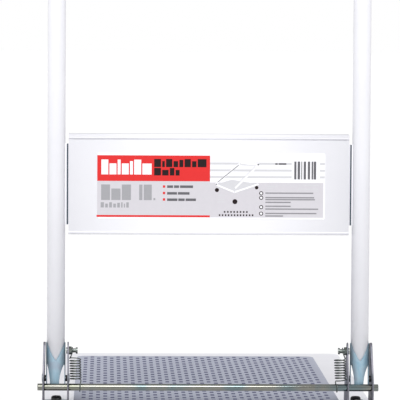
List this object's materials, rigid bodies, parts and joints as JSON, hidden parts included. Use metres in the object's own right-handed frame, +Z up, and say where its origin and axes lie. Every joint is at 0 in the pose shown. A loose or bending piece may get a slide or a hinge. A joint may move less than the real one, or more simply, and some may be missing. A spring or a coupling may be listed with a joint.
{
  "type": "folding platform cart",
  "caption": "Flat-deck hand cart with a ribbed mat, a push handle that folds down over the deck when a sprung bar is pressed, and fixed and swivel casters.",
  "frame": {"origin": "on the floor, below the middle of the cart's outline", "axes": "+Z up; +Y from the handle end to the far end; +X to the right of a person standing at the handle"},
  "size_m": [0.483, 0.73, 0.853],
  "materials": {
    "white_powder_coat": "gloss powder coat",
    "grey_paint": "satin",
    "ribbed_mat": "matte, textured",
    "printed_label": "gloss print",
    "black_steel": "black oxide",
    "black_nylon": "matte",
    "yellow_zinc": "clear zinc plate",
    "blue_zinc": "blue zinc plate",
    "spring_steel": "oiled",
    "tyre": "matte",
    "grey_plastic": "moulded"
  },
  "bodies": {
    "platform": {"deck_pan": "white_powder_coat", "cross_rails": "grey_paint", "deck_mat": "ribbed_mat", "bracket_left": "blue_zinc", "bracket_right": "blue_zinc", "bracket_bolts": "black_steel", "bracket_nuts": "black_steel", "deck_bolts": "black_steel", "deck_nuts": "black_steel", "pivot_pins": "blue_zinc", "spring_studs": "blue_zinc", "stud_nuts": "blue_zinc", "spring_left": "spring_steel", "spring_right": "spring_steel", "swivel_plates": "blue_zinc", "swivel_races": "blue_zinc", "kingpins": "blue_zinc", "fixed_forks": "blue_zinc", "fixed_axles": "blue_zinc", "caster_bolts": "blue_zinc", "caster_nuts": "blue_zinc"},
    "handle": {"handle_tube": "white_powder_coat", "handle_panel": "white_powder_coat", "panel_label": "printed_label", "saddle_left": "blue_zinc", "saddle_right": "blue_zinc", "pivot_bushes": "black_nylon"},
    "bar": {"release_bar": "yellow_zinc"},
    "swivel_caster_left": {"swivel_fork_left": "blue_zinc", "swivel_axle_left": "blue_zinc"},
    "swivel_caster_right": {"swivel_fork_right": "blue_zinc", "swivel_axle_right": "blue_zinc"},
    "swivel_wheel_left": {"swivel_hub_left": "grey_plastic", "swivel_tyre_left": "tyre"},
    "swivel_wheel_right": {"swivel_hub_right": "grey_plastic", "swivel_tyre_right": "tyre"},
    "fixed_wheel_left": {"fixed_hub_left": "grey_plastic", "fixed_tyre_left": "tyre"},
    "fixed_wheel_right": {"fixed_hub_right": "grey_plastic", "fixed_tyre_right": "tyre"}
  },
  "joints": [
    {"name": "handle_fold", "type": "hinge", "parent": "platform", "child": "handle", "pos_m": [0, -0.335, 0.203], "axis": [-1, 0, 0], "range_deg": [0, 91.5]},
    {"name": "release_bar_press", "type": "slide", "parent": "platform", "child": "bar", "axis": [0, 0, -1], "range_m": [0, 0.009], "stiffness_N_per_m": 1500, "springref_m": -0.008, "deforming": ["spring_left", "spring_right"]},
    {"name": "swivel_left", "type": "hinge", "parent": "platform", "child": "swivel_caster_left", "pos_m": [-0.17, -0.27, 0.12], "axis": [0, 0, 1], "continuous": true},
    {"name": "swivel_right", "type": "hinge", "parent": "platform", "child": "swivel_caster_right", "pos_m": [0.17, -0.27, 0.12], "axis": [0, 0, 1], "continuous": true},
    {"name": "swivel_wheel_left_spin", "type": "hinge", "parent": "swivel_caster_left", "child": "swivel_wheel_left", "pos_m": [-0.17, -0.3, 0.05], "axis": [1, 0, 0], "continuous": true},
    {"name": "swivel_wheel_right_spin", "type": "hinge", "parent": "swivel_caster_right", "child": "swivel_wheel_right", "pos_m": [0.17, -0.3, 0.05], "axis": [1, 0, 0], "continuous": true},
    {"name": "fixed_wheel_left_spin", "type": "hinge", "parent": "platform", "child": "fixed_wheel_left", "pos_m": [-0.17, 0.27, 0.05], "axis": [1, 0, 0], "continuous": true},
    {"name": "fixed_wheel_right_spin", "type": "hinge", "parent": "platform", "child": "fixed_wheel_right", "pos_m": [0.17, 0.27, 0.05], "axis": [1, 0, 0], "continuous": true}
  ]
}
